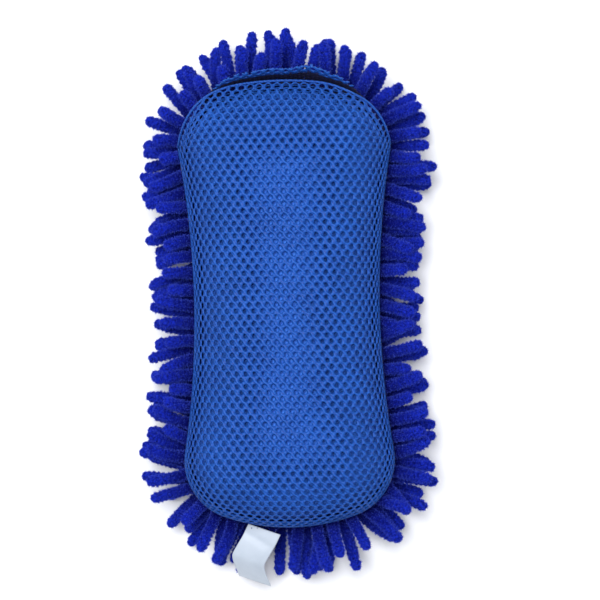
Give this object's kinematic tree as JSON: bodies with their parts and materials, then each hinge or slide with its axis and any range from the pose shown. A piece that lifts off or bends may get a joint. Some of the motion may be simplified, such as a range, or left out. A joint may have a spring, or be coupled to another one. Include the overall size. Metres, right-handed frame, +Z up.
{
  "type": "wash mitt",
  "caption": "Figure-8 foam wash mitt lying on its chenille palm: perforated knit mesh back with a hand pocket open at one end, chenille fingers round the rim and a sewn-in blank satin label.",
  "frame": {"origin": "on the ground under the middle of the mitt's overall length and width, as it lies on its chenille palm", "axes": "+Z up through the mesh back, +Y towards the open (wrist) end of the hand pocket, +X to the right seen from above with +Y away"},
  "size_m": [0.1416, 0.2529, 0.065],
  "materials": {
    "mesh_knit": "warp-knit polyester mesh, azure blue, slight sheen",
    "chenille_pile": "microfibre chenille yarn, ultramarine, matt and velvety",
    "ground_cloth": "knitted polyester ground cloth, dark blue",
    "core_foam": "open-cell polyurethane foam, dark blue",
    "satin_ribbon": "white woven satin ribbon",
    "sewing_thread": "spun polyester sewing thread, blue"
  },
  "bodies": {
    "mitt": {"chenille_backing": "ground_cloth", "foam_core": "core_foam", "inner_mesh": "mesh_knit", "label_stitches": "sewing_thread", "outer_mesh": "mesh_knit", "palm_row_1": "chenille_pile", "palm_row_2": "chenille_pile", "palm_row_3": "chenille_pile", "palm_row_4": "chenille_pile", "palm_row_5": "chenille_pile", "palm_row_6": "chenille_pile", "palm_row_7": "chenille_pile", "palm_row_8": "chenille_pile", "palm_row_9": "chenille_pile", "rim_row_left_lower": "chenille_pile", "rim_row_left_middle": "chenille_pile", "rim_row_left_upper": "chenille_pile", "rim_row_mouth_lower": "chenille_pile", "rim_row_mouth_middle": "chenille_pile", "rim_row_mouth_upper": "chenille_pile", "rim_row_right_lower": "chenille_pile", "rim_row_right_middle": "chenille_pile", "rim_row_right_upper": "chenille_pile", "rim_row_toe_lower": "chenille_pile", "rim_row_toe_middle": "chenille_pile", "rim_row_toe_upper": "chenille_pile", "rim_seam": "sewing_thread"},
    "label": {"care_label": "satin_ribbon"}
  },
  "joints": [
    {"name": "label_hinge", "type": "hinge", "parent": "mitt", "child": "label", "pos_m": [-0.012, -0.1058, 0.0356], "axis": [-1, 0, 0], "range_deg": [0, 90]}
  ]
}
